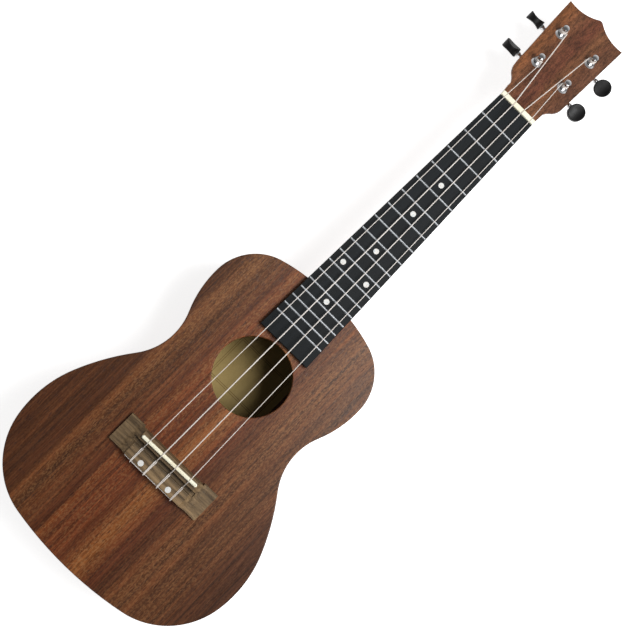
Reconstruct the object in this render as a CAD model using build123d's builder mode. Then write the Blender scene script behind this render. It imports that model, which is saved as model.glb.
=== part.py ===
from build123d import *

import os
from math import atan2, cos, degrees, pi, radians, sin

# A concert ukulele with geared tuning machines, made as its separate glued, screwed and turning pieces.
#
# It lies on its flat back. The origin is on the back's resting face, on the centre line, below the end of
# the string scale. +Y runs along the neck to the headstock, +X to the side of the A string and +Z out of
# the soundboard. All lengths are in millimetres.

# ---------------------------------------------------------------- driving dimensions
scale_length = 380.0        # nut edge to the end of the scale
body_depth = 66.0           # resting face of the back to the face of the soundboard
joint_y = 169.3             # the neck meets the body at the fourteenth fret
tail_y = -111.9

soundboard_t = 2.3
back_t = 2.6
side_t = 2.3

soundhole_y = 84.0
soundhole_r = 31.0

# Half of the body's outline, from the tail to the neck: (radius, turn in degrees) of tangent arcs.
# A negative turn is the hollow of the waist.
body_arcs = [
    (304.9, 10.2),
    (62.5, 70.0),
    (91.9, 32.0),
    (183.5, 15.0),
    (49.7, -60.9),
    (90.0, 25.3),
    (42.3, 50.7),
    (40.0, 20.9),
]

fingerboard_t = 5.0
fingerboard_length = 262.4
nut_half_width = 17.6
board_taper = 0.0264        # half-width gained per millimetre towards the body
fret_count = 18
fret_crown_r = 0.8
fret_tang_w = 0.54
fret_tang_depth = 1.9
marker_r = 2.25
marker_t = 1.2

nut_t = 4.2
nut_height = 6.9
string_over_board = 1.5     # string centre above the fingerboard at the nut
saddle_string_z = 77.3      # string centre on the saddle

neck_depth = 12.5           # wood below the fingerboard at the nut
heel_bottom_z = 4.2
heel_cap_t = 2.0

head_angle = 12.0
head_t = 13.5
head_pivot_y = scale_length + nut_t
head_tip_w = 111.6          # distances along the head face from the nut are called w
head_peak_w = 119.0
head_tip_half = 30.5

bridge_half = 44.6
bridge_front_y = 2.6
bridge_rear_y = -22.4
bridge_wing_t = 3.2
bridge_height = 8.2
tie_block_front_y = -11.0
tie_block_half = 28.0
channel_floor = 3.8
channel_front_y = -7.2
saddle_y = -3.1
saddle_slant = 1.2          # degrees, so that the bass end lies further from the nut
saddle_half = 27.6
saddle_t = 2.8
string_hole_height = 5.2
string_hole_r = 0.75
bridge_bolt_x = 14.1
bridge_bolt_y = -19.0
bridge_dot_r = 2.3
bridge_dot_t = 0.8

nut_string_pitch = 9.2
saddle_string_pitch = 13.8

# Tuning machines, each in the head's own plane: x across, w along, height above the face.
near_row_w = 44.0
far_row_w = 80.5
near_row_x = 14.9
far_row_x = 17.0
worm_offset = 6.0           # post axis to worm axis
gear_mid = -17.2            # height of the gear's middle and of the worm's axis
gear_teeth = 14
gear_t = 3.0
gear_pitch_r = 4.0
gear_tip_r = 4.55
gear_root_r = 3.15
gap_outer_w = 1.55
gear_bore_r = 1.92
worm_pitch = 2 * pi * gear_pitch_r / gear_teeth
worm_core_r = 1.3
worm_tip_r = 2.55
worm_half = 4.6
groove_floor_half = 0.52
groove_mouth_half = 0.82
post_r = 3.0
post_waist_r = 2.05
post_height = 10.0
post_hole_height = 6.9
bushing_flange_r = 4.9
bushing_sleeve_r = 4.0
plate_t = 1.0
button_x = 23.5
button_r = 7.3
button_edge = button_r + 0.1
button_waist_half = 2.6
button_round = 0.7
running_gap = 0.06

# name, x of the post, w of the post, string radius, place in the row of strings, turn of the button
machines = [
    ("g", -near_row_x, near_row_w, 0.33, -1.5, 50.0),
    ("c", -far_row_x, far_row_w, 0.48, -0.5, 38.0),
    ("e", far_row_x, far_row_w, 0.42, 0.5, 128.0),
    ("a", near_row_x, near_row_w, 0.31, 1.5, 114.0),
]

top_z = body_depth
board_z = top_z + fingerboard_t
board_end_y = scale_length - fingerboard_length
under_top_z = top_z - soundboard_t
sine, cosine = sin(radians(head_angle)), cos(radians(head_angle))

os.makedirs("parts", exist_ok=True)


def write(shape, name):
    """Name a finished piece and write it."""
    shape.label = name
    export_step(shape, f"parts/{name}.step")


def fret_distance(number):
    """Distance from the nut edge to a fret."""
    return scale_length * (1 - 2 ** (-number / 12))


def board_half(distance):
    """Half-width of the fingerboard at a distance from the nut edge."""
    return nut_half_width + board_taper * distance


def head_point(x, w, height=0.0):
    """A point given in the head's plane, in the part's frame."""
    return Vector(x, head_pivot_y + w * cosine + height * sine, top_z - w * sine + height * cosine)


def head_plane(x, w, height=0.0):
    """The plane parallel to the head's face at such a point, its local y towards the tip."""
    return Plane(origin=head_point(x, w, height), x_dir=(1, 0, 0), z_dir=(0, sine, cosine))


def body_outline(inset=0.0):
    """The body's outline as a sketch, moved inwards by the inset."""
    with BuildSketch() as outline:
        with BuildLine():
            corner, heading = Vector(0, tail_y), Vector(1, 0)
            for radius, turn in body_arcs:
                arc = JernArc(start=corner, tangent=heading, radius=radius, arc_size=turn)
                corner, heading = arc @ 1, arc % 1
            TangentArc(corner, (0, joint_y), tangent=heading)
            mirror(about=Plane.YZ)
        make_face()
        if inset:
            offset(amount=-inset, mode=Mode.REPLACE)
    return outline.sketch


# ---------------------------------------------------------------- body shell
with BuildPart() as soundboard:
    with BuildSketch(Plane.XY.offset(under_top_z)):
        add(body_outline())
    extrude(amount=soundboard_t)
    fillet(soundboard.edges().group_by(Axis.Z)[-1], 1.1)
    with Locations((0, soundhole_y, top_z)):
        Hole(soundhole_r)
    fillet(soundboard.faces().sort_by(Axis.Z)[-1].edges().filter_by(GeomType.CIRCLE).sort_by(
        lambda edge: abs(edge.radius - soundhole_r))[0], 0.7)
    with Locations((-bridge_bolt_x, bridge_bolt_y, top_z), (bridge_bolt_x, bridge_bolt_y, top_z)):
        Hole(1.3)
write(soundboard.part, "soundboard")

with BuildPart() as back_plate:
    with BuildSketch():
        add(body_outline())
    extrude(amount=back_t)
    fillet(back_plate.edges().group_by(Axis.Z)[0], 1.1)
write(back_plate.part, "back_plate")

dowel_r = 3.0
dowel_x = 8.5
dowel_z = 38.0
dowel_back_y = 149.0
dowel_front_y = 181.0
dowel_mouth = Plane(origin=(0, dowel_back_y, dowel_z), x_dir=(1, 0, 0), z_dir=(0, 1, 0))


def dowel_bores():
    """Cut the two dowel bores out of the piece being built."""
    with BuildSketch(dowel_mouth) as bores:
        with Locations((-dowel_x, 0), (dowel_x, 0)):
            Circle(dowel_r)
    extrude(bores.sketch, amount=dowel_front_y - dowel_back_y, mode=Mode.SUBTRACT)


for side_name, kept in (("side_left", Keep.BOTTOM), ("side_right", Keep.TOP)):
    with BuildPart() as side:
        with BuildSketch(Plane.XY.offset(back_t)):
            add(body_outline())
            add(body_outline(side_t), mode=Mode.SUBTRACT)
        extrude(amount=under_top_z - back_t)
        dowel_bores()
        split(bisect_by=Plane.YZ, keep=kept)
    write(side.part, side_name)

# ---------------------------------------------------------------- inside the body
block_half = 27.0
neck_block_length = 22.0
tail_block_length = 16.0
lining_w = 5.6
lining_h = 9.0
lining_edge = 1.6


def block(low_y, high_y, bored=False):
    """A block between the plates that fits the inner face of the sides."""
    with BuildPart() as piece:
        with BuildSketch(Plane.XY.offset(back_t)):
            with Locations((0, (low_y + high_y) / 2)):
                Rectangle(2 * block_half, high_y - low_y)
            add(body_outline(side_t), mode=Mode.INTERSECT)
        extrude(amount=under_top_z - back_t)
        if bored:
            dowel_bores()
    return piece.part


neck_block_y = joint_y - side_t - neck_block_length
tail_block_y = tail_y + side_t + tail_block_length
write(block(neck_block_y, joint_y, bored=True), "neck_block")
write(block(tail_y, tail_block_y), "tail_block")


def linings(glue_z, away):
    """A strip along each side, thickest at the plate that it holds; away is the direction off the plate."""
    with BuildPart() as strips:
        for step, (height, width) in enumerate(((0.4, 1.0), (0.7, 0.66), (1.0, 0.3))):
            with BuildSketch(Plane.XY.offset(glue_z)):
                add(body_outline(side_t))
                add(body_outline(side_t + lining_w * width), mode=Mode.SUBTRACT)
            extrude(amount=away * lining_h * height)
        with BuildSketch(Plane.XY.offset(glue_z)):
            with Locations((0, neck_block_y + 50)):
                Rectangle(2 * block_half + 1, 100)
            with Locations((0, tail_block_y - 50)):
                Rectangle(2 * block_half + 1, 100)
        extrude(amount=away * lining_h, mode=Mode.SUBTRACT)
    return strips.part


write(linings(under_top_z, -1), "top_linings")
write(linings(back_t, 1), "back_linings")


def cross_brace(y, half_length, width, height, glue_z, away):
    """A brace across the body with ends planed down, added to the piece being built."""
    tip = 0.3 * height
    with BuildSketch(Plane(origin=(0, y - width / 2, glue_z), x_dir=(1, 0, 0), z_dir=(0, 1, 0))) as profile:
        # This plane's local y points down.
        with BuildLine():
            Polyline(
                (-half_length, 0),
                (half_length, 0),
                (half_length, -away * tip),
                (half_length - 18, -away * height),
                (18 - half_length, -away * height),
                (-half_length, -away * tip),
                close=True,
            )
        make_face()
    extrude(profile.sketch, amount=width)


with BuildPart() as top_cross_braces:
    cross_brace(126.0, 65.0, 7.0, 9.0, under_top_z, -1)
    cross_brace(42.0, 57.0, 7.0, 10.0, under_top_z, -1)
write(top_cross_braces.part, "top_cross_braces")

with BuildPart() as back_braces:
    cross_brace(126.0, 66.0, 8.0, 9.0, back_t, 1)
    cross_brace(34.0, 64.0, 8.0, 9.0, back_t, 1)
    cross_brace(-44.0, 92.0, 8.0, 10.0, back_t, 1)
write(back_braces.part, "back_braces")

fan_length = 52.0
fan_y = -56.0
with BuildPart() as fan_braces:
    for lean, x in ((8.0, -24.0), (0.0, 0.0), (-8.0, 24.0)):
        with BuildSketch(Plane.XY.offset(under_top_z)):
            with Locations(Location((x, fan_y), lean)):
                Rectangle(5.0, fan_length)
        extrude(amount=-6.0)
    chamfer(fan_braces.edges().group_by(Axis.Z)[0], 1.6)
write(fan_braces.part, "fan_braces")

patch_t = 2.2
with BuildPart() as bridge_patch:
    with BuildSketch(Plane.XY.offset(under_top_z)):
        with Locations((0, -10)):
            RectangleRounded(100, 32, 3)
        with Locations((-bridge_bolt_x, bridge_bolt_y), (bridge_bolt_x, bridge_bolt_y)):
            Circle(1.3, mode=Mode.SUBTRACT)
    extrude(amount=-patch_t)
write(bridge_patch.part, "bridge_patch")

with BuildPart() as label:
    with BuildSketch(Plane.XY.offset(back_t)):
        with Locations((0, 82.5)):
            RectangleRounded(66, 74, 2)
    extrude(amount=0.15)
write(label.part, "paper_label")

# ---------------------------------------------------------------- neck and headstock
def neck_section(plane, half_width, depth, squareness):
    """A neck cross-section: flat on top, round below; a higher squareness fills its corners."""
    with BuildSketch(plane) as section:
        with BuildLine():
            Line((half_width, 0), (-half_width, 0))
            places = []
            for step in range(9):
                angle = pi * (1 + step / 8)
                across = abs(round(cos(angle), 9)) ** (2 / squareness) * (-1 if step < 4 else 1)
                down = abs(round(sin(angle), 9)) ** (2 / squareness)
                places.append((half_width * across, -depth * down))
            Spline(places, tangents=((0, -1), (0, 1)))
        make_face()
    return section.sketch


def cross_plane(y):
    """The plane across the neck at y, its local y upwards from the neck's top."""
    return Plane(origin=(0, y, top_z), x_dir=(1, 0, 0), z_dir=(0, -1, 0))


shaft_end_y = 378.5
head_start_w = 13.0         # the head is as wide as the neck up to here, and full width at shoulder_w
head_start_half = 18.2
shoulder_w = 29.5
shoulder_half = 26.7
tongue_w = 31.0             # the neck's rounded wood runs on under the head to here
tongue_half = 17.4
ear_t = 2.0                 # the flare is upright this deep, and undercut below that
ear_slope = 45.0
waste_half = 40.0
head_back_plane = head_plane(0, 0, -head_t)


def neck_shaft():
    """The rounded shaft, which the scarf joint divides between neck and headstock."""
    with BuildPart() as shaft:
        for y, half, depth, squareness in (
            (joint_y - 5, board_half(scale_length - joint_y + 5), 15.5, 2.3),
            (shaft_end_y, nut_half_width, neck_depth, 2.35),
        ):
            add(neck_section(cross_plane(y), half, depth, squareness))
        loft(ruled=True)
    return shaft.part


heel_sections = [
    (heel_bottom_z, 13.0, 16.0),
    (22.0, 15.0, 17.5),
    (38.0, 18.0, 23.0),
    (48.0, 20.8, 35.0),
    (54.0, 22.6, 52.0),
]

with BuildPart() as neck:
    add(neck_shaft())
    split(bisect_by=head_back_plane, keep=Keep.BOTTOM)
    for z, half, length in heel_sections:
        with BuildSketch(Plane.XY.offset(z)):
            with BuildLine():
                Line((half, joint_y - 5), (-half, joint_y - 5))
                EllipticalCenterArc((0, joint_y - 5), half, length, start_angle=0, arc_size=180)
            make_face()
    loft()
    with BuildSketch(Plane.XY):
        add(body_outline())
    extrude(amount=body_depth + 1, mode=Mode.SUBTRACT)
    dowel_bores()
write(neck.part, "neck")

with BuildPart() as heel_cap:
    with BuildSketch(Plane.XY.offset(heel_bottom_z)):
        with BuildLine():
            Line((heel_sections[0][1], joint_y - 5), (-heel_sections[0][1], joint_y - 5))
            EllipticalCenterArc((0, joint_y - 5), heel_sections[0][1], heel_sections[0][2], start_angle=0, arc_size=180)
        make_face()
        add(body_outline(), mode=Mode.SUBTRACT)
    extrude(amount=-heel_cap_t)
write(heel_cap.part, "heel_cap")

with BuildPart() as neck_dowels:
    with BuildSketch(dowel_mouth):
        with Locations((-dowel_x, 0), (dowel_x, 0)):
            Circle(dowel_r)
    extrude(amount=dowel_front_y - dowel_back_y)
write(neck_dowels.part, "neck_dowels")

plate_screw_low = -7.4
plate_screw_high = 11.2



def flare():
    """Half of the head's curve from the neck's width out to its shoulder, for the line being built."""
    hollow = ThreePointArc((head_start_half, head_start_w), (20.3, 16.8), (23.3, 20.0))
    return ThreePointArc(hollow @ 1, (25.6, 23.9), (shoulder_half, shoulder_w))


def head_cross_plane(w):
    """The plane across the head at w, its local y up to the face."""
    return Plane(origin=head_point(0, w), x_dir=(1, 0, 0), z_dir=(0, -cosine, sine))


with BuildPart() as head_plate:
    with BuildSketch(head_plane(0, 0)):
        with BuildLine():
            Line((0, head_start_w), (head_start_half, head_start_w))
            edge = Line(flare() @ 1, (head_tip_half, head_tip_w))
            crown = ThreePointArc(edge @ 1, (15.2, 111.9), (2.3, 118.2))
            ThreePointArc(crown @ 1, (1.3, 118.8), (0, head_peak_w))
            mirror(about=Plane.YZ)
        make_face()
    extrude(amount=-head_t)
    # Below the ears the flare slants back under the head, as carved.
    with BuildSketch(head_plane(0, 0, -ear_t)) as waste:
        with BuildLine():
            Line((0, head_start_w), (head_start_half, head_start_w))
            Polyline(flare() @ 1, (waste_half, shoulder_w), (waste_half, 0), (0, 0))
            mirror(about=Plane.YZ)
        make_face()
    slant = head_point(0, sin(radians(ear_slope)), -cos(radians(ear_slope))) - head_point(0, 0)
    slant_length = (head_t - ear_t) / cos(radians(ear_slope)) + 1
    extrude(waste.sketch, amount=slant_length, dir=slant, mode=Mode.SUBTRACT)

with BuildPart() as headstock:
    add(neck_shaft())
    split(bisect_by=head_back_plane, keep=Keep.TOP)
    add(neck_section(cross_plane(shaft_end_y), nut_half_width, neck_depth, 2.35))
    add(neck_section(cross_plane(head_pivot_y), nut_half_width, neck_depth + 0.9, 2.9))
    add(neck_section(head_cross_plane(head_start_w), head_start_half, head_t, 6.0))
    add(neck_section(head_cross_plane(tongue_w), tongue_half, head_t, 6.0))
    loft(ruled=True)
    add(head_plate.part)
    for name, x, w, *_ in machines:
        with BuildSketch(head_plane(x, w)):
            Circle(bushing_sleeve_r)
        extrude(amount=-head_t, mode=Mode.SUBTRACT)
        with BuildSketch(head_plane(x, w, -head_t)):
            with Locations((0, plate_screw_low), (0, plate_screw_high)):
                Circle(1.0)
        extrude(amount=8.0, mode=Mode.SUBTRACT)
write(headstock.part, "headstock")

# ---------------------------------------------------------------- fingerboard, frets and nut
frets_y = [scale_length - fret_distance(number) for number in range(1, fret_count + 1)]


def between_frets(number):
    """Middle of the space behind a fret."""
    return scale_length - (fret_distance(number - 1) + fret_distance(number)) / 2


marker_places = [(0, between_frets(number)) for number in (5, 7, 10, 15)]
marker_places += [(-12.5, between_frets(12)), (12.5, between_frets(12))]

with BuildPart() as fret_markers:
    with BuildSketch(Plane.XY.offset(board_z)):
        with Locations(*marker_places):
            Circle(marker_r)
    extrude(amount=-marker_t)
write(fret_markers.part, "fret_markers")

with BuildPart() as fingerboard:
    with BuildSketch(Plane.XY.offset(top_z)):
        with BuildLine():
            Polyline(
                (-nut_half_width, scale_length),
                (nut_half_width, scale_length),
                (board_half(fingerboard_length), board_end_y),
                (-board_half(fingerboard_length), board_end_y),
                close=True,
            )
        make_face()
    extrude(amount=fingerboard_t)
    chamfer(fingerboard.edges().filter_by(Axis.Z, reverse=True).group_by(Axis.Z)[-1], 0.4)
    with BuildSketch(Plane.XY.offset(board_z)):
        with Locations(*marker_places):
            Circle(marker_r)
    extrude(amount=-marker_t, mode=Mode.SUBTRACT)
    for y in frets_y:
        with BuildSketch(Plane.XY.offset(board_z)):
            with Locations((0, y)):
                Rectangle(2 * board_half(scale_length - y) - 1.2, fret_tang_w)
        extrude(amount=-fret_tang_depth, mode=Mode.SUBTRACT)
write(fingerboard.part, "fingerboard")

with BuildPart() as frets:
    for y in frets_y:
        # Local x of this plane runs along the neck and local y upwards.
        with BuildSketch(Plane(origin=(0, y, board_z), x_dir=(0, 1, 0), z_dir=(1, 0, 0))):
            with BuildLine():
                Line((-fret_crown_r, 0), (fret_crown_r, 0))
                ThreePointArc((fret_crown_r, 0), (0, fret_crown_r), (-fret_crown_r, 0))
            make_face()
            with Locations((0, -fret_tang_depth / 2)):
                Rectangle(fret_tang_w, fret_tang_depth)
        extrude(amount=board_half(scale_length - y) - 0.6, both=True)
write(frets.part, "frets")

with BuildPart() as nut:
    with BuildSketch(Plane.XY.offset(top_z)):
        with Locations((0, scale_length + nut_t / 2)):
            Rectangle(2 * nut_half_width, nut_t)
    extrude(amount=nut_height)
    fillet(nut.edges().group_by(Axis.Z)[-1], 0.8)
    for name, x, w, radius, place, turn in machines:
        slot_plane = Plane(
            origin=(place * nut_string_pitch, scale_length - 1, board_z + string_over_board),
            x_dir=(1, 0, 0),
            z_dir=(0, 1, 0),
        )
        with BuildSketch(slot_plane):
            # Local y points down: the slot is open above.
            Circle(radius + 0.06)
            with Locations((0, -2)):
                Rectangle(2 * (radius + 0.06), 4)
        extrude(amount=nut_t + 2, mode=Mode.SUBTRACT)
write(nut.part, "nut")

# ---------------------------------------------------------------- bridge and saddle
saddle_plane = Plane(
    origin=(0, saddle_y, top_z), x_dir=(cos(radians(saddle_slant)), sin(radians(saddle_slant)), 0), z_dir=(0, 0, 1)
)
bolt_places = [(-bridge_bolt_x, bridge_bolt_y), (bridge_bolt_x, bridge_bolt_y)]
saddle_slot_floor = 3.0
scoop_r = 9.0

with BuildPart() as bridge:
    # Front elevation: thin wings that sweep up into the tie block. Local y of this plane points up.
    with BuildSketch(Plane(origin=(0, bridge_front_y, top_z), x_dir=(1, 0, 0), z_dir=(0, -1, 0))):
        with BuildLine():
            wing = Line((0, 0), (bridge_half, 0))
            tip = Line(wing @ 1, (bridge_half, bridge_wing_t - 0.4))
            slope = Line(tip @ 1, (tie_block_half + scoop_r, bridge_wing_t))
            scoop = ThreePointArc(
                slope @ 1, (tie_block_half + 0.34 * scoop_r, bridge_wing_t + 1.6), (tie_block_half, bridge_height)
            )
            Line(scoop @ 1, (0, bridge_height))
            mirror(about=Plane.YZ)
        make_face()
    extrude(amount=bridge_front_y - bridge_rear_y)
    # The front of the middle stands back a little and slopes.
    with BuildSketch(Plane.YZ.offset(-tie_block_half - 3)):
        with BuildLine():
            Polyline(
                (bridge_front_y + 1, top_z - 0.1),
                (bridge_front_y - 1.4, top_z - 0.1),
                (bridge_front_y - 2.4, top_z + bridge_height + 1),
                (bridge_front_y + 1, top_z + bridge_height + 1),
                close=True,
            )
        make_face()
    extrude(amount=2 * tie_block_half + 6, mode=Mode.SUBTRACT)
    # Channel between the saddle and the tie block.
    with BuildSketch(Plane.XY.offset(top_z + channel_floor)):
        with Locations((0, (tie_block_front_y + channel_front_y) / 2)):
            Rectangle(2 * tie_block_half + 6, channel_front_y - tie_block_front_y)
    extrude(amount=bridge_height, mode=Mode.SUBTRACT)
    fillet(bridge.edges().filter_by(Axis.X).group_by(Axis.Z)[-1], 0.5)
    with BuildSketch(saddle_plane.offset(saddle_slot_floor)):
        SlotOverall(2 * saddle_half, saddle_t)
    extrude(amount=bridge_height, mode=Mode.SUBTRACT)
    # String holes through the tie block.
    with BuildSketch(Plane(origin=(0, tie_block_front_y + 1, top_z), x_dir=(1, 0, 0), z_dir=(0, -1, 0))):
        for place in (-1.5, -0.5, 0.5, 1.5):
            with Locations((place * saddle_string_pitch, string_hole_height)):
                Circle(string_hole_r)
    extrude(amount=tie_block_front_y + 2 - bridge_rear_y, mode=Mode.SUBTRACT)
    with BuildSketch(Plane.XY.offset(top_z)):
        with Locations(*bolt_places):
            Circle(1.3)
    extrude(amount=bridge_height, mode=Mode.SUBTRACT)
    with BuildSketch(Plane.XY.offset(top_z + bridge_height)):
        with Locations(*bolt_places):
            Circle(bridge_dot_r)
    extrude(amount=-bridge_dot_t - 1.6, mode=Mode.SUBTRACT)
write(bridge.part, "bridge")

with BuildPart() as saddle:
    with BuildSketch(saddle_plane.offset(saddle_slot_floor)):
        SlotOverall(2 * saddle_half, saddle_t)
    extrude(amount=saddle_string_z - 0.5 - top_z - saddle_slot_floor)
    fillet(saddle.edges().group_by(Axis.Z)[-1], 1.0)
write(saddle.part, "saddle")

with BuildPart() as bridge_dots:
    with BuildSketch(Plane.XY.offset(top_z + bridge_height)):
        with Locations(*bolt_places):
            Circle(bridge_dot_r)
    extrude(amount=-bridge_dot_t)
write(bridge_dots.part, "bridge_dots")

with BuildPart() as bridge_bolts:
    with BuildSketch(Plane.XY.offset(top_z + bridge_height - bridge_dot_t)):
        with Locations(*bolt_places):
            Circle(2.1)
    extrude(amount=-1.5)
    with BuildSketch(Plane.XY.offset(top_z + bridge_height - bridge_dot_t)):
        with Locations(*bolt_places):
            Circle(1.2)
    extrude(amount=-(bridge_height - bridge_dot_t + soundboard_t + patch_t + 3.5))
    with BuildSketch(Plane.XY.offset(under_top_z - patch_t)):
        with Locations(*bolt_places):
            RegularPolygon(2.9, 6)
    extrude(amount=-2.2)
write(bridge_bolts.part, "bridge_bolts")

# ---------------------------------------------------------------- strings
tie_leg = 0.56              # the two passes over the block lie this far each side of the string
tail_reach = 6.7


def saddle_point(x):
    """Where a string at x crosses the slanted saddle."""
    return Vector(x, saddle_y + x * sin(radians(saddle_slant)), saddle_string_z)


def coil_radius(radius):
    return post_waist_r + radius + 0.06


def string_route(x_post, w_post, radius, place):
    """The corners of one string, from its post to its knot at the tie block."""
    inward = -1 if x_post > 0 else 1
    post_side = x_post + inward * (coil_radius(radius) + 2 * radius + 0.15)
    x = place * saddle_string_pitch
    rest_z = top_z + bridge_height + radius + 0.04
    hole_z = top_z + string_hole_height
    loop_y = bridge_rear_y - 1.2 - radius
    front_y = tie_block_front_y + radius + 0.06
    tuck_z = top_z + channel_floor + radius + 0.2
    tail_y_line = bridge_rear_y - radius - 0.06
    tail_z = top_z + bridge_height - 1.3
    tail_end_x = x - (tail_reach if place < -1 else saddle_string_pitch)
    return [
        head_point(post_side, w_post, 4.9),
        Vector(place * nut_string_pitch, scale_length + 2.0, board_z + string_over_board),
        saddle_point(x),
        Vector(x, tie_block_front_y + 0.4, hole_z),
        Vector(x, loop_y, hole_z),
        Vector(x, loop_y, rest_z),
        Vector(x + tie_leg, front_y, rest_z),
        Vector(x + tie_leg, front_y, tuck_z),
        Vector(x - tie_leg, front_y, tuck_z),
        Vector(x - tie_leg, front_y, rest_z),
        Vector(x - tie_leg, tail_y_line, rest_z),
        Vector(x - tie_leg, tail_y_line, tail_z),
        Vector(tail_end_x, tail_y_line, tail_z),
    ]


tie_bends = [4.0, 1.5, 0.9, 0.8, 0.8, 0.5, 0.5, 0.5, 0.5, 0.5, 0.5]

for name, x_post, w_post, radius, place, turn in machines:
    with BuildPart() as string:
        with BuildLine() as route:
            FilletPolyline(*string_route(x_post, w_post, radius, place), radius=tie_bends)
        with BuildSketch(Plane(origin=route.line @ 0, z_dir=route.line % 0)):
            Circle(radius)
        sweep(path=route.line)
    length = sum(edge.length for edge in route.line.edges())
    ratio = string.part.volume / (length * pi * radius**2)
    print(f"string_{name}: length {length:.1f}, volume against section times length {ratio:.4f}")
    write(string.part, f"string_{name}")

# ---------------------------------------------------------------- tuning machines
def tuner_plate(x, w, side):
    """Base plate with two folded ears that carry the worm shaft. Side is +1 on the right."""
    with BuildPart() as plate:
        with BuildSketch(head_plane(x, w, -head_t)):
            with Locations((0, (plate_screw_low + plate_screw_high) / 2)):
                RectangleRounded(15.4, plate_screw_high - plate_screw_low + 5.6, 2.6)
            Circle(post_r + 0.12, mode=Mode.SUBTRACT)
            with Locations((0, plate_screw_low), (0, plate_screw_high)):
                Circle(1.05, mode=Mode.SUBTRACT)
        extrude(amount=-plate_t)
        for inner_x, journal in ((-side * 5.3, 1.2), (side * 5.3, 1.6)):
            ear_plane = worm_plane(x + inner_x, w)
            with BuildSketch(ear_plane):
                Circle(2.9)
                with Locations((0, 1.4)):
                    Rectangle(5.8, 2.8)
                Circle(journal + running_gap, mode=Mode.SUBTRACT)
            extrude(amount=1.3 * (1 if inner_x > 0 else -1))
    return plate.part


def worm_plane(x, w):
    """The plane across the worm's axis at x: local x towards the tip, local y towards the head's face."""
    return Plane(origin=head_point(x, w + worm_offset, gear_mid), x_dir=(0, cosine, -sine), z_dir=(1, 0, 0))


def worm_shaft(x, w, side):
    """Shaft with a right-hand thread; its journals run in the ears and its squared end holds the button."""
    with BuildPart() as shaft:
        with BuildSketch(worm_plane(x - worm_half, w)):
            Circle(worm_tip_r)
        extrude(amount=2 * worm_half)
        # The thread is what a helical groove leaves of the blank; the groove runs out past both ends.
        groove_start = x - worm_half - worm_pitch
        with BuildLine(worm_plane(groove_start, w)) as groove_path:
            Helix(worm_pitch, 2 * worm_half + 2 * worm_pitch, worm_core_r, direction=(1, 0, 0))
        start = groove_path.line @ 0
        outward = start - head_point(groove_start, w + worm_offset, gear_mid)
        depth = worm_tip_r - worm_core_r + 0.3
        with BuildSketch(Plane(origin=start, x_dir=outward, z_dir=groove_path.line % 0)):
            with BuildLine():
                Polyline(
                    (0, -groove_floor_half),
                    (depth, -groove_mouth_half),
                    (depth, groove_mouth_half),
                    (0, groove_floor_half),
                    close=True,
                )
            make_face()
        sweep(path=groove_path.line, is_frenet=True, mode=Mode.SUBTRACT)
        for start, end, radius in (
            (-worm_half - 3.4, -worm_half, 1.2),
            (worm_half, 13.4, 1.6),
            (15.0, 17.0, 2.4),
            (17.0, 21.4, 1.5),
        ):
            low, high = sorted((side * start, side * end))
            with BuildSketch(worm_plane(x + low, w)):
                Circle(radius)
            extrude(amount=high - low)
        low, high = sorted((side * 13.4, side * 15.0))
        with BuildSketch(worm_plane(x + low, w)):
            Circle(1.6 if side > 0 else 2.4)
        with BuildSketch(worm_plane(x + high, w)):
            Circle(2.4 if side > 0 else 1.6)
        loft()
    return shaft.part


def button(x, w, side, turn):
    """Round finger button, thinner at its waist, on the end of the worm shaft."""
    centre = head_point(x + side * button_x, w + worm_offset, gear_mid)
    across = Vector(0, cosine, -sine).rotate(Axis.X, turn)
    broad = Plane(origin=centre, x_dir=(1, 0, 0), z_dir=across)
    edge_on = Plane(origin=centre, x_dir=(1, 0, 0), z_dir=Vector(1, 0, 0).cross(across))
    with BuildPart() as knob:
        with BuildSketch(broad):
            Circle(button_r)
        extrude(amount=6, both=True)
        with BuildSketch(edge_on):
            with BuildLine():
                near, far = (-side * button_edge, 4.4), (side * button_edge, 4.2)
                ThreePointArc(near, (side * 0.6, button_waist_half), far)
                Line(far, (far[0], -far[1]))
                ThreePointArc((far[0], -far[1]), (side * 0.6, -button_waist_half), (near[0], -near[1]))
                Line((near[0], -near[1]), near)
            make_face()
        extrude(amount=9, both=True, mode=Mode.INTERSECT)
        fillet(knob.edges(), button_round)
        for start, end, radius in ((15.0, 17.0, 2.4), (17.0, 21.4, 1.5)):
            low, high = sorted((side * start, side * end))
            with BuildSketch(worm_plane(x + low, w)):
                Circle(radius)
            extrude(amount=high - low, mode=Mode.SUBTRACT)
    return knob.part


def worm_gear(x, w):
    """Gear on the foot of the post, with a tooth gap at the worm's crest nearest to the middle."""
    # The groove's helix starts straight above the worm's axis, a quarter turn less the head's angle away.
    groove_phase = (90 - head_angle) / 360
    crest_x = (worm_pitch * (groove_phase + 0.5) - worm_half) % worm_pitch
    with BuildPart() as gear:
        with BuildSketch(head_plane(x, w, gear_mid - gear_t / 2)):
            Circle(gear_tip_r)
            with PolarLocations(0, gear_teeth, start_angle=90 - degrees(crest_x / gear_pitch_r)):
                with Locations((gear_root_r + 1, 0)):
                    Trapezoid(gap_outer_w, 2.0, 80, rotation=90, mode=Mode.SUBTRACT)
            Circle(gear_bore_r, mode=Mode.SUBTRACT)
        extrude(amount=gear_t)
    return gear.part


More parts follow.
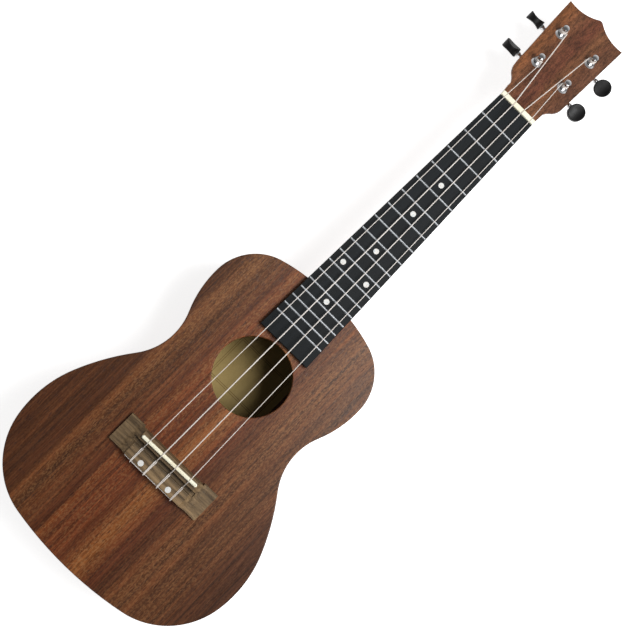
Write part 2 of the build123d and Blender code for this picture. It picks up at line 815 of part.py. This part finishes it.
def string_post(x, w):
    """Post with a waist for the string, a cross hole and a threaded foot that carries the gear."""
    foot = gear_mid - gear_t / 2
    axis_plane = Plane(origin=head_point(x, w), x_dir=(1, 0, 0), z_dir=(0, -cosine, sine))
    with BuildPart() as post:
        # Half of the profile, in a plane through the axis: local x is the radius, local y the height.
        with BuildSketch(axis_plane):
            with BuildLine():
                Polyline(
                    (0, foot),
                    (1.9, foot),
                    (1.9, gear_mid + gear_t / 2),
                    (post_r, gear_mid + gear_t / 2),
                    (post_r, 2.4),
                    (post_waist_r, 3.1),
                    (post_waist_r, 7.6),
                    (2.7, 8.5),
                    (2.7, 9.4),
                )
                TangentArc((0, post_height), (2.7, 9.4), tangent=(1, 0))
                Line((0, post_height), (0, foot))
            make_face()
        revolve(axis=Axis(origin=head_point(x, w), direction=(0, sine, cosine)))
        with BuildSketch(head_plane(x, w, foot)):
            Circle(1.0)
        extrude(amount=5.0, mode=Mode.SUBTRACT)
        with BuildSketch(Plane(origin=head_point(x, w, post_hole_height), x_dir=(1, 0, 0), z_dir=(0, cosine, -sine))):
            Circle(0.7)
        extrude(amount=4, both=True, mode=Mode.SUBTRACT)
    return post.part


def gear_screw(x, w):
    """Slotted screw that holds the gear on its post."""
    foot = gear_mid - gear_t / 2
    with BuildPart() as screw:
        with BuildSketch(head_plane(x, w, foot)):
            Circle(0.98)
        extrude(amount=4.6)
        with BuildSketch(head_plane(x, w, foot)):
            Circle(2.5)
        extrude(amount=-1.5)
        fillet(screw.faces().sort_by(Axis(head_point(x, w), (0, sine, cosine)))[0].edges(), 0.5)
        with BuildSketch(head_plane(x, w, foot - 1.5)):
            Rectangle(6, 0.5)
        extrude(amount=0.7, mode=Mode.SUBTRACT)
    return screw.part


def winding(x, w, radius):
    """Three turns of string round the post, and the end that passes through its cross hole."""
    pitch = 2 * radius + 0.08
    with BuildPart() as coil:
        low = head_point(x, w, 3.25 + radius)
        with BuildLine() as turns:
            Helix(pitch, 3 * pitch, coil_radius(radius), center=low, direction=(0, sine, cosine))
        with BuildSketch(Plane(origin=turns.line @ 0, z_dir=turns.line % 0)):
            Circle(radius)
        sweep(path=turns.line, is_frenet=True)
        start = head_point(x, w - 1.2, post_hole_height)
        with BuildSketch(Plane(origin=start, x_dir=(1, 0, 0), z_dir=(0, cosine, -sine))):
            Circle(radius)
        extrude(amount=5.3)
    return coil.part


for name, x, w, radius, place, turn in machines:
    side = 1 if x > 0 else -1
    write(tuner_plate(x, w, side), f"tuner_plate_{name}")
    write(worm_shaft(x, w, side), f"worm_shaft_{name}")
    write(button(x, w, side, turn), f"button_{name}")
    write(worm_gear(x, w), f"worm_gear_{name}")
    write(string_post(x, w), f"post_{name}")
    write(gear_screw(x, w), f"gear_screw_{name}")
    write(winding(x, w, radius), f"winding_{name}")

with BuildPart() as post_bushings:
    for name, x, w, *_ in machines:
        with BuildSketch(head_plane(x, w)):
            Circle(bushing_flange_r)
        with BuildSketch(head_plane(x, w, 1.5)):
            Circle(bushing_flange_r - 1.1)
        loft()
        with BuildSketch(head_plane(x, w)):
            Circle(bushing_sleeve_r)
        extrude(amount=-9.0)
        with BuildSketch(head_plane(x, w, -9.0)):
            Circle(post_r + running_gap)
        extrude(amount=12.0, mode=Mode.SUBTRACT)
write(post_bushings.part, "post_bushings")

with BuildPart() as tuner_screws:
    for name, x, w, *_ in machines:
        with BuildSketch(head_plane(x, w, -head_t - plate_t)):
            with Locations((0, plate_screw_low), (0, plate_screw_high)):
                Circle(1.9)
        extrude(amount=-0.9)
        with BuildSketch(head_plane(x, w, -head_t - plate_t)):
            with Locations((0, plate_screw_low), (0, plate_screw_high)):
                Circle(1.0)
        extrude(amount=8.5)
write(tuner_screws.part, "tuner_screws")
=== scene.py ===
"""The looks of a concert ukulele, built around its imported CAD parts. Metres, in the part's own frame."""

import math

import bpy
from mathutils import Matrix, Vector


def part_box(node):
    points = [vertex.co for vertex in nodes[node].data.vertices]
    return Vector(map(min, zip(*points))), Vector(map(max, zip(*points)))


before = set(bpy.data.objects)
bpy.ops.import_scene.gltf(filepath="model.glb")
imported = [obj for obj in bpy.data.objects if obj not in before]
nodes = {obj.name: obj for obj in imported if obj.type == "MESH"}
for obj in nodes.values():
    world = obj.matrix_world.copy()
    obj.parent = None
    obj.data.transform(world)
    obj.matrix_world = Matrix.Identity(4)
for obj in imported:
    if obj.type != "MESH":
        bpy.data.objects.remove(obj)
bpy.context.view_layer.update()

MM = 0.001
BOARD_LIGHT = 1.3  # how strongly the studio lights a surface that faces straight up
BOARD_SPAN = 216 * MM  # the width that the soundboard's ribbons are laid over
HEAD_SPAN = 64 * MM  # the same for the headstock's
# Painted sheen: the soundboard is painted paler and greyer towards the neck, standing in for the lamp's
# reflection on its upper bout.
PAINTED_SHEEN_LENGTH = 150 * MM  # from the scale's end towards the neck, over which the soundboard grows paler
RIBBON_SWAY = 7 * MM
BORDER_HALF = (27 * MM, 20.5 * MM)  # half the label's outer border line, along X and Y
BORDER_GAP = 1.6 * MM
BORDER_STROKE_HALF = 0.3 * MM


# ---------------------------------------------------------------- camera, lights, floor


def make_camera():
    """Looks down on the soundboard, rolled so that the neck runs across the frame at a slant."""
    place = Vector((-0.0210, 0.0756, 0.7543))
    aim = Vector((-0.0014, 0.1505, 0.0710))
    roll = math.radians(44.63)
    data = bpy.data.cameras.new("camera")
    data.sensor_fit = "HORIZONTAL"
    data.sensor_width = 36
    data.lens = 51.84
    camera = bpy.data.objects.new("camera", data)
    back = (place - aim).normalized()
    right = Vector((0, 1, 0)).cross(back).normalized()
    up = back.cross(right)
    look = Matrix((right, up, back)).transposed()
    camera.matrix_world = (
        Matrix.Translation(place) @ look.to_4x4() @ Matrix.Rotation(roll, 4, "Z")
    )
    bpy.context.scene.collection.objects.link(camera)
    bpy.context.scene.camera = camera


def make_softbox(name, place, aim, size, power):
    """A square soft light at place, facing aim."""
    data = bpy.data.lights.new(name, "AREA")
    data.shape = "SQUARE"
    data.size = size
    data.energy = power
    light = bpy.data.objects.new(name, data)
    place = Vector(place)
    light.location = place
    light.rotation_euler = (Vector(aim) - place).to_track_quat("-Z", "Y").to_euler()
    bpy.context.scene.collection.objects.link(light)


def make_world(ceiling, horizon):
    """A pale studio: bright walls and a dimmer ceiling."""
    world = bpy.data.worlds.new("studio")
    world.use_nodes = True
    tree = world.node_tree
    coords = tree.nodes.new("ShaderNodeTexCoord")
    split = tree.nodes.new("ShaderNodeSeparateXYZ")
    ramp = tree.nodes.new("ShaderNodeValToRGB")
    ramp.color_ramp.elements[0].color = (horizon, horizon, horizon, 1)
    ramp.color_ramp.elements[1].color = (ceiling, ceiling, ceiling, 1)
    ramp.color_ramp.elements[1].position = 0.75
    tree.links.new(coords.outputs["Generated"], split.inputs[0])
    tree.links.new(split.outputs["Z"], ramp.inputs["Fac"])
    tree.links.new(ramp.outputs["Color"], tree.nodes["Background"].inputs["Color"])
    bpy.context.scene.world = world


def make_floor():
    """A plain white table that glows a little, so that shadows on it stay faint."""
    half = 12.0
    mesh = bpy.data.meshes.new("floor")
    corners = [(-half, -half, 0), (half, -half, 0), (half, half, 0), (-half, half, 0)]
    mesh.from_pydata(corners, [], [(0, 1, 2, 3)])
    floor = bpy.data.objects.new("floor", mesh)
    floor.location.z = -0.2 * MM
    bpy.context.scene.collection.objects.link(floor)
    material = bpy.data.materials.new("floor_white")
    material.use_nodes = True
    shader = material.node_tree.nodes["Principled BSDF"]
    shader.inputs["Base Color"].default_value = (0.62, 0.62, 0.62, 1)
    shader.inputs["Roughness"].default_value = 0.9
    shader.inputs["Specular IOR Level"].default_value = 0.0
    shader.inputs["Emission Color"].default_value = (1, 1, 1, 1)
    shader.inputs["Emission Strength"].default_value = 0.78
    mesh.materials.append(material)


# ---------------------------------------------------------------- node helpers


def tone(red, green, blue):
    """A display colour, 0 to 255, as the colour that shows so where the studio light falls on it."""
    def linear(v):
        v /= 255
        return v / 12.92 if v < 0.04045 else ((v + 0.055) / 1.055) ** 2.4
    return tuple(linear(v) / BOARD_LIGHT for v in (red, green, blue)) + (1,)


class Finish:
    """A material under construction, with short ways to add the nodes that it needs."""

    def __init__(self, name, roughness=0.5, metallic=0.0, specular=0.5):
        self.material = bpy.data.materials.new(name)
        self.material.use_nodes = True
        self.tree = self.material.node_tree
        self.shader = self.tree.nodes["Principled BSDF"]
        self.set("Roughness", roughness)
        self.set("Metallic", metallic)
        self.set("Specular IOR Level", specular)
        self.object_coords = self.add("ShaderNodeTexCoord").outputs["Object"]

    def add(self, kind, **inputs):
        node = self.tree.nodes.new(kind)
        for key, value in inputs.items():
            self.feed(node.inputs[key], value)
        return node

    def feed(self, socket, value):
        """Links value into socket if it is an output, and sets it there if it is a constant."""
        if isinstance(value, bpy.types.NodeSocket):
            self.tree.links.new(value, socket)
        else:
            socket.default_value = value

    def set(self, socket, value):
        self.feed(self.shader.inputs[socket], value)

    def stretch(self, x, y, z):
        """Object coordinates scaled per axis: each number is in cycles per metre."""
        scaled = self.add("ShaderNodeMapping", Vector=self.object_coords)
        scaled.inputs["Scale"].default_value = (x, y, z)
        return scaled.outputs[0]

    def noise(self, vector, detail=2.0, rough=0.5, distort=0.0):
        node = self.add("ShaderNodeTexNoise", Vector=vector, Scale=1.0, Detail=detail)
        node.inputs["Roughness"].default_value = rough
        node.inputs["Distortion"].default_value = distort
        return node.outputs["Fac"]

    def ramp(self, fac, *stops):
        """A colour ramp: each stop is (position, colour), where a colour may be one number."""
        node = self.add("ShaderNodeValToRGB", Fac=fac)
        line = node.color_ramp
        while len(line.elements) < len(stops):
            line.elements.new(0.5)
        for element, (position, colour) in zip(line.elements, stops):
            element.position = position
            one = isinstance(colour, (int, float))
            element.color = (colour, colour, colour, 1) if one else colour
        return node.outputs["Color"]

    def math(self, operation, a, b=0.0):
        node = self.add("ShaderNodeMath")
        node.operation = operation
        self.feed(node.inputs[0], a)
        self.feed(node.inputs[1], b)
        return node.outputs[0]

    def mix(self, fac, a, b, blend="MIX"):
        node = self.add("ShaderNodeMix")
        node.data_type = "RGBA"
        node.blend_type = blend
        self.feed(node.inputs["Factor"], fac)
        self.feed(node.inputs["A"], a)
        self.feed(node.inputs["B"], b)
        return node.outputs["Result"]

    def bump(self, height, depth):
        """Bump of the given depth in metres."""
        node = self.add("ShaderNodeBump", Height=height, Distance=depth, Strength=1.0)
        self.feed(self.shader.inputs["Normal"], node.outputs[0])


# ---------------------------------------------------------------- finishes


def sapele(wood, tint, streaks, fibres, flecks, pores, sparkle):
    """Lays the open grain of ribbon sapele over a broad tint; sparkle is how far its flecks show.

    Each pattern is a stretch per axis in cycles per metre.
    """
    streak = wood.noise(wood.stretch(*streaks), detail=3, rough=0.6)
    fibre = wood.noise(wood.stretch(*fibres), detail=2, rough=0.7)
    fleck = wood.noise(wood.stretch(*flecks), detail=2, rough=0.6)
    pore = wood.noise(wood.stretch(*pores), detail=1, rough=0.5)
    streak_shade = wood.ramp(streak, (0.34, 0.56), (0.48, 1.0), (0.66, 1.44))
    base = wood.mix(1.0, tint, streak_shade, "MULTIPLY")
    base = wood.mix(1.0, base, wood.ramp(fibre, (0.32, 0.68), (0.68, 1.32)), "MULTIPLY")
    brightness = wood.add("ShaderNodeRGBToBW", Color=tint).outputs[0]
    pale = wood.ramp(brightness, (0.022, 0.10), (0.062, 1.0))
    shimmer = wood.math("MULTIPLY", pale, wood.ramp(fleck, (0.48, 0.0), (0.60, 1.0)))
    base = wood.mix(wood.math("MULTIPLY", shimmer, sparkle), base, tone(160, 112, 70))
    hollow = wood.ramp(pore, (0.30, 1.0), (0.42, 0.0))
    base = wood.mix(wood.math("MULTIPLY", hollow, 0.65), base, tone(44, 22, 14))
    wood.set("Base Color", base)
    wood.set("Roughness", wood.ramp(fibre, (0.3, 0.36), (0.7, 0.54)))
    wood.bump(wood.math("SUBTRACT", wood.math("MULTIPLY", fibre, 0.4), hollow), 0.05 * MM)
    return wood.material


def ribbon_tint(wood, ribbons, width):
    """Straight ribbons across X: each is (x in mm, colour). They sway a little along the grain."""
    across = wood.add("ShaderNodeSeparateXYZ", Vector=wood.object_coords).outputs["X"]
    sway = wood.noise(wood.stretch(26, 7, 26), detail=2)
    sway = wood.math("MULTIPLY", wood.math("SUBTRACT", sway, 0.5), RIBBON_SWAY)
    place = wood.math("DIVIDE", wood.math("ADD", across, sway), width)
    place = wood.math("ADD", place, 0.5)
    tint = wood.ramp(place, *((0.5 + x * MM / width, colour) for x, colour in ribbons))
    drift = wood.noise(wood.stretch(130, 2.5, 130), detail=3)
    return wood.mix(1.0, tint, wood.ramp(drift, (0.32, 0.78), (0.68, 1.22)), "MULTIPLY")


def soundboard_wood():
    """Dark brown with straight ribbons: a golden one down the middle and a red one left of it."""
    wood = Finish("sapele_soundboard", specular=0.28)
    ribbons = (
        (-104, tone(80, 45, 24)), (-84, tone(79, 46, 25)), (-71, tone(76, 42, 21)),
        (-58, tone(102, 63, 36)), (-51, tone(86, 49, 26)), (-43, tone(98, 56, 31)),
        (-36, tone(82, 42, 21)), (-31, tone(106, 58, 29)), (-26, tone(96, 50, 25)),
        (-16, tone(106, 54, 26)), (-7, tone(90, 46, 22)), (0, tone(108, 62, 31)),
        (6, tone(120, 75, 40)), (13, tone(106, 60, 31)), (20, tone(78, 38, 19)),
        (33, tone(90, 51, 28)), (46, tone(94, 59, 36)), (56, tone(92, 55, 32)),
        (68, tone(97, 61, 38)), (82, tone(82, 48, 28)), (104, tone(76, 44, 26)),
    )
    tint = ribbon_tint(wood, ribbons, BOARD_SPAN)
    along = wood.add("ShaderNodeSeparateXYZ", Vector=wood.object_coords).outputs["Y"]
    up_board = wood.math("MULTIPLY", along, 1 / PAINTED_SHEEN_LENGTH)
    # Painted sheen: warmer and darker at the tail end, paler and greyer towards the neck, where the lamp's
    # reflection lies.
    painted_sheen = wood.ramp(up_board, (0.0, (1.0, 0.86, 0.62, 1)), (1.0, (1.20, 1.24, 1.26, 1)))
    tint = wood.mix(1.0, tint, painted_sheen, "MULTIPLY")
    return sapele(wood, tint, (430, 3, 430), (1100, 30, 1100), (1100, 480, 1100),
                  (1500, 160, 1500), 0.55)


def headstock_wood():
    """The headstock's face: orange at the left edge and redder in the middle."""
    wood = Finish("okoume_headstock", specular=0.3)
    ribbons = (
        (-31, tone(120, 72, 40)), (-24, tone(128, 78, 46)), (-15, tone(108, 68, 46)),
        (-6, tone(100, 58, 40)), (2, tone(98, 54, 38)), (10, tone(118, 76, 50)),
        (18, tone(94, 58, 40)), (25, tone(98, 63, 45)), (31, tone(92, 57, 40)),
    )
    tint = ribbon_tint(wood, ribbons, HEAD_SPAN)
    return sapele(wood, tint, (420, 7, 420), (1500, 60, 1500), (1300, 520, 1300),
                  (2000, 280, 2000), 0.25)


def noisy_tint(wood, bands):
    """Ribbons of random width in the soundboard's colours."""
    band = wood.noise(wood.stretch(*bands), detail=3, rough=0.6)
    return wood.ramp(band, (0.32, tone(74, 40, 22)), (0.45, tone(90, 52, 29)),
                     (0.55, tone(98, 54, 28)), (0.68, tone(124, 76, 42)))


def sides_wood():
    wood = Finish("sapele_sides", specular=0.3)
    return sapele(wood, noisy_tint(wood, (1.5, 1.5, 90)), (4, 4, 560), (50, 50, 1700),
                  (480, 480, 1100), (160, 160, 1500), 0.4)


def back_wood():
    wood = Finish("sapele_back", specular=0.3)
    return sapele(wood, noisy_tint(wood, (55, 0.8, 55)), (560, 4, 560), (1700, 50, 1700),
                  (1100, 480, 1100), (1500, 160, 1500), 0.4)


def plain_wood(name, stretch, dark, light, roughness, grain_depth=0.04, specular=0.3):
    """A quiet straight-grained wood: broad tone, fine lines and open pores along one axis."""
    wood = Finish(name, specular=specular)
    x, y, z = stretch
    broad = wood.noise(wood.stretch(x * 0.12, y * 0.3, z * 0.12), detail=2)
    line = wood.noise(wood.stretch(x, y, z), detail=4, rough=0.65, distort=0.2)
    pore = wood.noise(wood.stretch(x * 6, y * 14, z * 6), detail=1)
    base = wood.ramp(wood.mix(0.45, line, broad), (0.34, dark), (0.64, light))
    hollow = wood.ramp(pore, (0.28, 1.0), (0.38, 0.0))
    base = wood.mix(wood.math("MULTIPLY", hollow, 0.5), base, dark, "MULTIPLY")
    wood.set("Base Color", base)
    wood.set("Roughness", wood.ramp(line, (0.3, roughness - 0.07), (0.7, roughness + 0.1)))
    wood.bump(wood.math("SUBTRACT", wood.math("MULTIPLY", line, 0.5), hollow), grain_depth * MM)
    return wood.material


def neck_wood():
    return plain_wood("okoume_neck", (300, 9, 300), tone(98, 54, 32), tone(142, 92, 60), 0.45)


def inner_wood():
    return plain_wood("spruce_inside", (900, 20, 900), tone(168, 124, 78), tone(206, 166, 116), 0.7)


def fingerboard_wood():
    return plain_wood("black_fingerboard", (500, 16, 500), tone(16, 19, 20), tone(29, 33, 36),
                      0.5, 0.03, specular=0.12)


def bridge_wood():
    """Walnut, with painted shade: darker beside the saddle and in the channel behind it, where shadow falls.
    """
    wood = Finish("walnut_bridge", specular=0.3)
    place = wood.add("ShaderNodeSeparateXYZ", Vector=wood.object_coords)
    broad = wood.noise(wood.stretch(14, 60, 60), detail=2)
    line = wood.noise(wood.stretch(22, 320, 420), detail=4, rough=0.65, distort=0.25)
    pore = wood.noise(wood.stretch(260, 2000, 2000), detail=1)
    grain = wood.mix(0.35, line, broad)
    base = wood.ramp(grain, (0.36, tone(60, 45, 27)), (0.62, tone(146, 120, 86)))
    across = wood.math("ADD", wood.math("MULTIPLY", place.outputs["X"], 10.0), 0.4)
    pale = wood.ramp(across, (0.0, 0.94), (0.4, 1.16))
    base = wood.mix(1.0, base, pale, "MULTIPLY")
    # Painted shade: the strip in front of the saddle and the channel behind it are painted darker, where
    # shadow falls on them.
    low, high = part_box("saddle")
    beside = wood.math("LESS_THAN", wood.math("ABSOLUTE", place.outputs["X"]), high[0])
    behind = wood.math("DIVIDE", wood.math("SUBTRACT", place.outputs["Y"], low[1] - 9 * MM), 18 * MM)
    paper_stain_and_bridge_painted_shade = wood.ramp(behind, (0.0, 0.0), (0.10, 0.55), (0.38, 0.55), (0.52, 0.30), (0.98, 0.40))
    base = wood.mix(wood.math("MULTIPLY", beside, paper_stain_and_bridge_painted_shade), base, tone(52, 42, 26))
    hollow = wood.ramp(pore, (0.28, 1.0), (0.38, 0.0))
    base = wood.mix(wood.math("MULTIPLY", hollow, 0.5), base, tone(40, 28, 18))
    wood.set("Base Color", base)
    wood.set("Roughness", wood.ramp(line, (0.3, 0.43), (0.7, 0.6)))
    wood.bump(wood.math("SUBTRACT", wood.math("MULTIPLY", line, 0.5), hollow), 0.05 * MM)
    return wood.material


def label_paper():
    """Cream paper with a double hairline border inside its edge, and nothing written on it."""
    low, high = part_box("paper_label")
    paper = Finish("label_paper", 0.85, specular=0.2)
    split = paper.add("ShaderNodeSeparateXYZ", Vector=paper.object_coords)
    middle = (low + high) / 2
    inset = []
    for axis, half in enumerate(BORDER_HALF):
        offset = paper.math("ABSOLUTE", paper.math("SUBTRACT", split.outputs[axis], middle[axis]))
        inset.append(paper.math("SUBTRACT", half, offset))
    edge = paper.math("MINIMUM", inset[0], inset[1])
    outer, inner = (
        paper.math("LESS_THAN", paper.math("ABSOLUTE", paper.math("SUBTRACT", edge, at)), BORDER_STROKE_HALF)
        for at in (0.0, BORDER_GAP)
    )
    line = paper.math("MAXIMUM", outer, inner)
    fibre = paper.noise(paper.stretch(900, 900, 900), detail=4, rough=0.7)
    paper_stain_and_bridge_painted_shade = paper.noise(paper.stretch(22, 22, 22), detail=2)
    sheet = paper.ramp(paper_stain_and_bridge_painted_shade, (0.35, tone(176, 152, 96)), (0.65, tone(198, 172, 114)))
    sheet = paper.mix(1.0, sheet, paper.ramp(fibre, (0.3, 0.93), (0.7, 1.05)), "MULTIPLY")
    paper.set("Base Color", paper.mix(paper.math("MULTIPLY", line, 0.6), sheet, tone(110, 84, 50)))
    paper.bump(fibre, 0.02 * MM)
    return paper.material


def metal(name, colour, roughness, scratch=900, wear=0.12):
    """A plated or drawn metal with fine turning marks and faint smudges."""
    shine = Finish(name, metallic=1.0)
    mark = shine.noise(shine.stretch(scratch, scratch * 0.15, scratch), detail=3, rough=0.7)
    smudge = shine.noise(shine.stretch(260, 260, 260), detail=2)
    shade = shine.ramp(smudge, (0.3, 1.0 - wear), (0.7, 1.0))
    shine.set("Base Color", shine.mix(1.0, colour, shade, "MULTIPLY"))
    shine.set("Roughness", shine.ramp(mark, (0.3, roughness * 0.7), (0.7, roughness * 1.5)))
    shine.bump(mark, 0.004 * MM)
    return shine.material


def pearl():
    """White shell: drifting warm and cool layers under a hard gloss."""
    shell = Finish("pearl_inlay", 0.22)
    layer = shell.noise(shell.stretch(500, 260, 500), detail=3, distort=1.5)
    shell.set("Base Color", shell.ramp(layer, (0.32, tone(214, 206, 200)), (0.5, tone(246, 244, 238)),
                                       (0.68, tone(206, 216, 220))))
    shell.set("Coat Weight", 0.4)
    shell.set("Coat Roughness", 0.08)
    shell.bump(layer, 0.005 * MM)
    return shell.material


def bone():
    """Ivory-coloured bone with faint fibres and a hand-polished surface."""
    ivory = Finish("bone_white")
    fibre = ivory.noise(ivory.stretch(120, 1400, 1400), detail=3, rough=0.6)
    cloud = ivory.noise(ivory.stretch(90, 90, 90), detail=2)
    base = ivory.ramp(cloud, (0.3, tone(255, 246, 214)), (0.7, tone(255, 254, 232)))
    ivory.set("Base Color", ivory.mix(1.0, base, ivory.ramp(fibre, (0.3, 0.93), (0.7, 1.04)), "MULTIPLY"))
    ivory.set("Roughness", ivory.ramp(fibre, (0.3, 0.3), (0.7, 0.46)))
    ivory.bump(fibre, 0.01 * MM)
    return ivory.material


def nylon():
    """Slightly see-through nylon line, faintly pink, with a slippery drawn surface."""
    line = Finish("nylon_string")
    line.set("Alpha", 0.66)
    drawn = line.noise(line.stretch(700, 40, 700), detail=2)
    line.set("Base Color", line.ramp(drawn, (0.3, (0.66, 0.60, 0.55, 1)), (0.7, (0.82, 0.77, 0.72, 1))))
    line.set("Roughness", line.ramp(drawn, (0.3, 0.22), (0.7, 0.36)))
    line.bump(drawn, 0.01 * MM)
    return line.material


def button_black():
    """Satin black moulded plastic with fine wear."""
    plastic = Finish("button_plastic", specular=0.2)
    grain = plastic.noise(plastic.stretch(1500, 1500, 1500), detail=3)
    wear = plastic.noise(plastic.stretch(180, 180, 180), detail=3)
    plastic.set("Base Color", plastic.ramp(wear, (0.3, tone(6, 6, 7)), (0.7, tone(14, 13, 14))))
    plastic.set("Roughness", plastic.ramp(wear, (0.3, 0.42), (0.7, 0.6)))
    plastic.bump(grain, 0.006 * MM)
    return plastic.material


def paint_parts():
    """Gives every CAD node its slot's finish; the back and the headstock get one of their own."""
    finishes = {
        "soundboard_wood": soundboard_wood(),
        "back_and_sides_wood": sides_wood(),
        "neck_wood": neck_wood(),
        "inner_wood": inner_wood(),
        "label_paper": label_paper(),
        "fingerboard_wood": fingerboard_wood(),
        "fret_metal": metal("nickel_frets", (0.46, 0.48, 0.50, 1), 0.50),
        "pearl": pearl(),
        "bone": bone(),
        "bridge_wood": bridge_wood(),
        "nylon": nylon(),
        "tuner_chrome": metal("tuner_chrome", (0.64, 0.64, 0.65, 1), 0.14),
        "gear_brass": metal("gear_brass", (0.78, 0.56, 0.24, 1), 0.25),
        "bolt_steel": metal("bolt_steel", (0.55, 0.55, 0.56, 1), 0.35),
        "button_black": button_black(),
    }
    for node in nodes.values():
        for place in node.material_slots:
            place.material = finishes[place.material.name]
    nodes["back_plate"].material_slots[0].material = back_wood()
    nodes["headstock"].material_slots[0].material = headstock_wood()


# ---------------------------------------------------------------- the scene


bpy.context.scene.view_settings.view_transform = "Standard"
make_camera()
make_world(ceiling=0.15, horizon=0.90)
make_floor()
make_softbox("key", (0.38, 0.38, 0.80), (0.0, 0.12, 0.05), 0.46, 9.9)
paint_parts()
